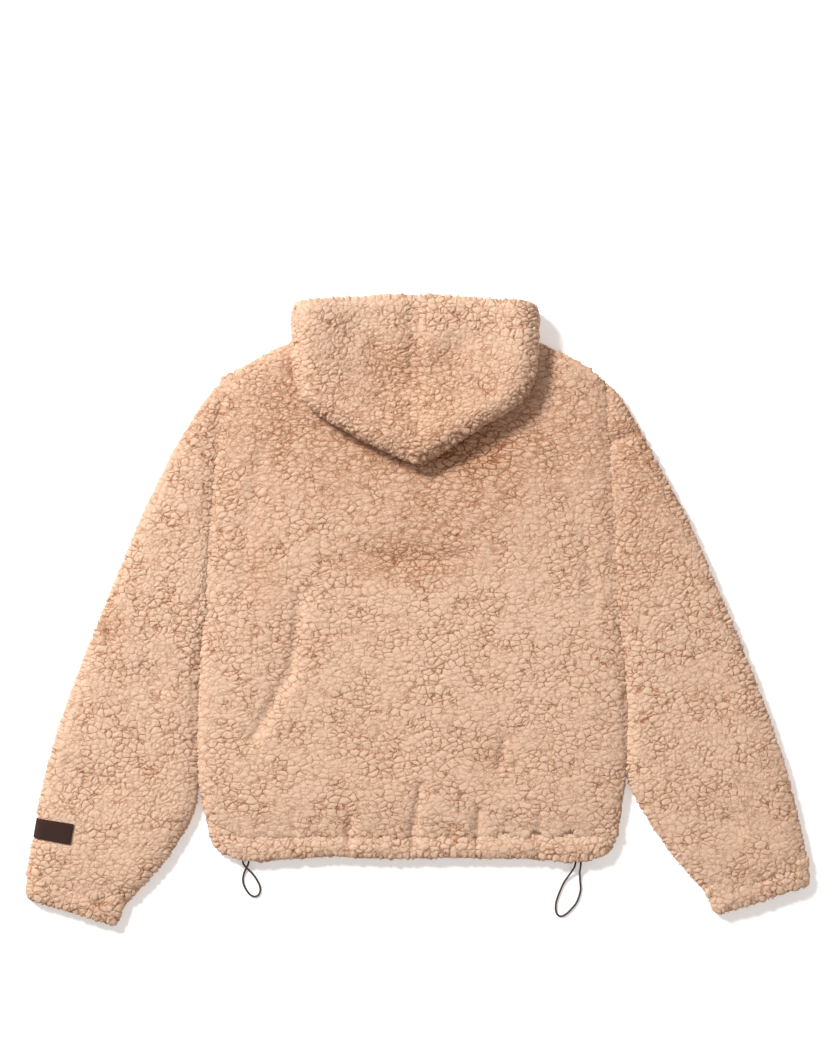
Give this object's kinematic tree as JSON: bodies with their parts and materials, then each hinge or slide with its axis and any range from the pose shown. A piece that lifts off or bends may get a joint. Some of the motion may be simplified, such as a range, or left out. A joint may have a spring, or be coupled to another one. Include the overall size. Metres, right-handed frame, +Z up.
{
  "type": "hooded sweatshirt, laid flat",
  "caption": "Hooded pullover of deep pile fleece, laid flat and face down with its hood folded on the back, with cord loops at the hem.",
  "frame": {"origin": "middle of the garment's outline, on the surface it lies on", "axes": "+X across the garment towards the wearer's right sleeve, +Y from the hem to the hood, +Z up from the surface, out of the garment's back"},
  "size_m": [1.014, 0.82, 0.051],
  "materials": {
    "fleece": "matte",
    "patch": "matte",
    "cord": "satin"
  },
  "bodies": {
    "root": {"back": "fleece", "front": "fleece", "sleeve_left": "fleece", "sleeve_right": "fleece", "cuff_left": "fleece", "cuff_right": "fleece", "hem_band": "fleece", "hood_left": "fleece", "hood_right": "fleece", "sleeve_patch": "patch", "cord_left": "cord", "cord_right": "cord"}
  },
  "joints": []
}
